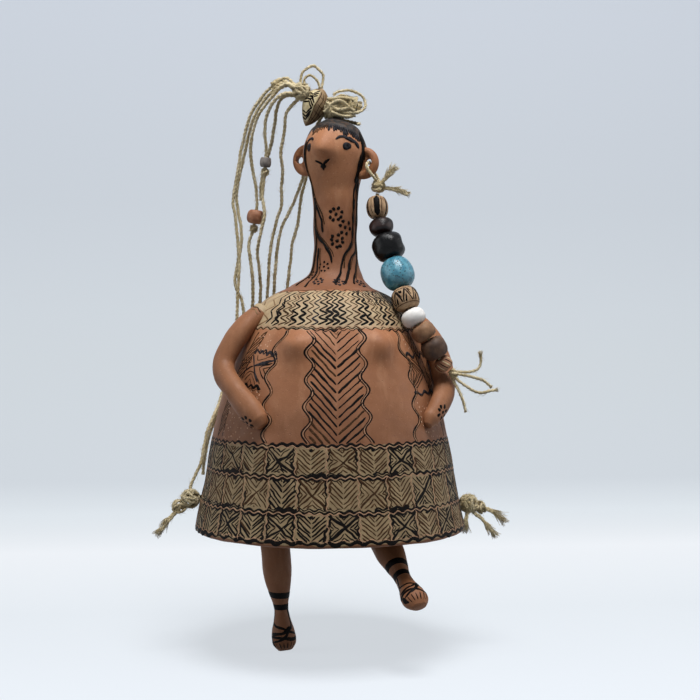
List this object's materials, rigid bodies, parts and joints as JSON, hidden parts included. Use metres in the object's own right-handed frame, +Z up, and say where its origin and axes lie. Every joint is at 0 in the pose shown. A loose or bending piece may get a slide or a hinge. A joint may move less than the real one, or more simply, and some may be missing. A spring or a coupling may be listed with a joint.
{
  "type": "bell doll figurine",
  "caption": "Hollow terracotta doll whose skirt is a bell, with legs hung inside as clappers, twine hair and a string of beads from one ear.",
  "frame": {"origin": "centre of the bell's mouth, on the bell's axis in the plane of the hem", "axes": "+Z up the bell's axis, -Y the doll's front, +X the doll's left"},
  "size_m": [0.1707, 0.134, 0.2916],
  "materials": {
    "terracotta": "hand-burnished fired clay, painted with black, cream and khaki slip",
    "twine": "two-ply natural jute twine",
    "bead_almond": "tan clay with dark painted stripes and chevrons",
    "bead_grey": "matt grey clay",
    "bead_terracotta": "matt red-brown clay",
    "bead_striped": "tan clay with dark stripes",
    "bead_dark_brown": "lumpy dark brown clay",
    "bead_black": "burnished black clay",
    "bead_turquoise": "pitted turquoise glaze",
    "bead_patterned": "tan clay with dark zigzags",
    "bead_white": "chalky white slip",
    "bead_tan": "matt tan clay",
    "bead_brown": "matt dark brown clay",
    "bead_small": "brown clay with cream flecks"
  },
  "bodies": {
    "doll": {"bell_body": "terracotta", "neck_and_head": "terracotta", "left_ear": "terracotta", "right_ear": "terracotta", "left_arm": "terracotta", "right_arm": "terracotta", "leg_cord": "twine", "left_hem_knot": "twine", "right_hem_knot": "twine", "hair_bundle": "twine", "hair_anchor_knot": "twine", "ponytail_knot": "twine", "topknot_bead": "bead_almond", "topknot_winding": "twine", "topknot_core": "twine", "topknot_loop": "twine", "topknot_lap": "twine", "tall_loop": "twine", "small_loop": "twine", "hair_strand_1": "twine", "hair_strand_2": "twine", "hair_strand_3": "twine", "hair_strand_4": "twine", "hair_strand_5": "twine", "hair_strand_6": "twine", "hair_strand_7": "twine", "hair_strand_8": "twine", "hair_bead_grey_knot": "twine", "hair_bead_terracotta_knot": "twine", "left_hem_tail_1": "twine", "left_hem_tail_2": "twine", "left_hem_tail_3": "twine", "right_hem_tail": "twine"},
    "left_leg_hanger": {"left_leg_loop": "twine"},
    "left_leg": {"left_leg": "terracotta"},
    "right_leg_hanger": {"right_leg_loop": "twine"},
    "right_leg": {"right_leg": "terracotta"},
    "bead_string": {"ear_loop": "twine", "ear_knot": "twine", "ear_tail_1": "twine", "ear_tail_2": "twine", "bead_cord": "twine", "end_knot": "twine", "end_tail_1": "twine", "end_tail_2": "twine", "end_tail_3": "twine", "end_tail_4": "twine"},
    "string_bead_1_striped": {"string_bead_1_striped": "bead_striped"},
    "string_bead_2_dark_brown": {"string_bead_2_dark_brown": "bead_dark_brown"},
    "string_bead_3_black": {"string_bead_3_black": "bead_black"},
    "string_bead_4_turquoise": {"string_bead_4_turquoise": "bead_turquoise"},
    "string_bead_5_patterned": {"string_bead_5_patterned": "bead_patterned"},
    "string_bead_6_white": {"string_bead_6_white": "bead_white"},
    "string_bead_7_tan": {"string_bead_7_tan": "bead_tan"},
    "string_bead_8_brown": {"string_bead_8_brown": "bead_brown"},
    "string_bead_9_small": {"string_bead_9_small": "bead_small"},
    "hair_bead_grey": {"hair_bead_grey": "bead_grey"},
    "hair_bead_terracotta": {"hair_bead_terracotta": "bead_terracotta"}
  },
  "joints": [
    {"name": "left_leg_swing", "type": "hinge", "parent": "doll", "child": "left_leg_hanger", "pos_m": [0.0192, 0, 0.01243], "axis": [0.9996, 0, -0.0299], "range_deg": [-11, 114]},
    {"name": "left_leg_splay", "type": "hinge", "parent": "left_leg_hanger", "child": "left_leg", "pos_m": [0.0192, -0.00518, 0.00867], "axis": [0, 0.5878, -0.809], "range_deg": [-20, 25]},
    {"name": "right_leg_swing", "type": "hinge", "parent": "doll", "child": "right_leg_hanger", "pos_m": [-0.029, 0, 0.01387], "axis": [0.9996, 0, -0.0299], "range_deg": [-60, 60]},
    {"name": "right_leg_splay", "type": "hinge", "parent": "right_leg_hanger", "child": "right_leg", "pos_m": [-0.029, 0, 0.00747], "axis": [0, 1, 0], "range_deg": [-10, 30]},
    {"name": "bead_string_swing", "type": "hinge", "parent": "doll", "child": "bead_string", "pos_m": [0.0191, -0.0081, 0.1812], "axis": [-0.4384, -0.8988, 0], "range_deg": [0, 55]},
    {"name": "bead_1_striped_spin", "type": "hinge", "parent": "bead_string", "child": "string_bead_1_striped", "pos_m": [0.02268, -0.00974, 0.15877], "axis": [-0.0667, 0.2004, 0.9774], "continuous": true},
    {"name": "bead_2_dark_brown_spin", "type": "hinge", "parent": "bead_string", "child": "string_bead_2_dark_brown", "pos_m": [0.02439, -0.01199, 0.14904], "axis": [-0.227, 0.2657, 0.9369], "continuous": true},
    {"name": "bead_3_black_spin", "type": "hinge", "parent": "bead_string", "child": "string_bead_3_black", "pos_m": [0.02754, -0.01545, 0.13887], "axis": [-0.2669, 0.3354, 0.9035], "continuous": true},
    {"name": "bead_4_turquoise_spin", "type": "hinge", "parent": "bead_string", "child": "string_bead_4_turquoise", "pos_m": [0.0313, -0.02081, 0.12548], "axis": [-0.2422, 0.3572, 0.9021], "continuous": true},
    {"name": "bead_5_patterned_spin", "type": "hinge", "parent": "bead_string", "child": "string_bead_5_patterned", "pos_m": [0.03452, -0.02572, 0.11294], "axis": [-0.2891, 0.3312, 0.8982], "continuous": true},
    {"name": "bead_6_white_spin", "type": "hinge", "parent": "bead_string", "child": "string_bead_6_white", "pos_m": [0.03798, -0.02879, 0.10404], "axis": [-0.4553, 0.2294, 0.8603], "continuous": true},
    {"name": "bead_7_tan_spin", "type": "hinge", "parent": "bead_string", "child": "string_bead_7_tan", "pos_m": [0.04272, -0.03002, 0.09712], "axis": [-0.5594, 0.0676, 0.8261], "continuous": true},
    {"name": "bead_8_brown_spin", "type": "hinge", "parent": "bead_string", "child": "string_bead_8_brown", "pos_m": [0.04795, -0.02999, 0.08925], "axis": [-0.5253, -0.0362, 0.8502], "continuous": true},
    {"name": "bead_9_small_spin", "type": "hinge", "parent": "bead_string", "child": "string_bead_9_small", "pos_m": [0.0524, -0.02938, 0.08187], "axis": [-0.6314, -0.116, 0.7668], "continuous": true},
    {"name": "bead_grey_spin", "type": "hinge", "parent": "doll", "child": "hair_bead_grey", "pos_m": [-0.03199, 0.00797, 0.18317], "axis": [0.0618, -0.1645, 0.9844], "continuous": true},
    {"name": "bead_terracotta_spin", "type": "hinge", "parent": "doll", "child": "hair_bead_terracotta", "pos_m": [-0.03704, 0.01402, 0.15625], "axis": [0.1455, -0.071, 0.9868], "continuous": true}
  ]
}
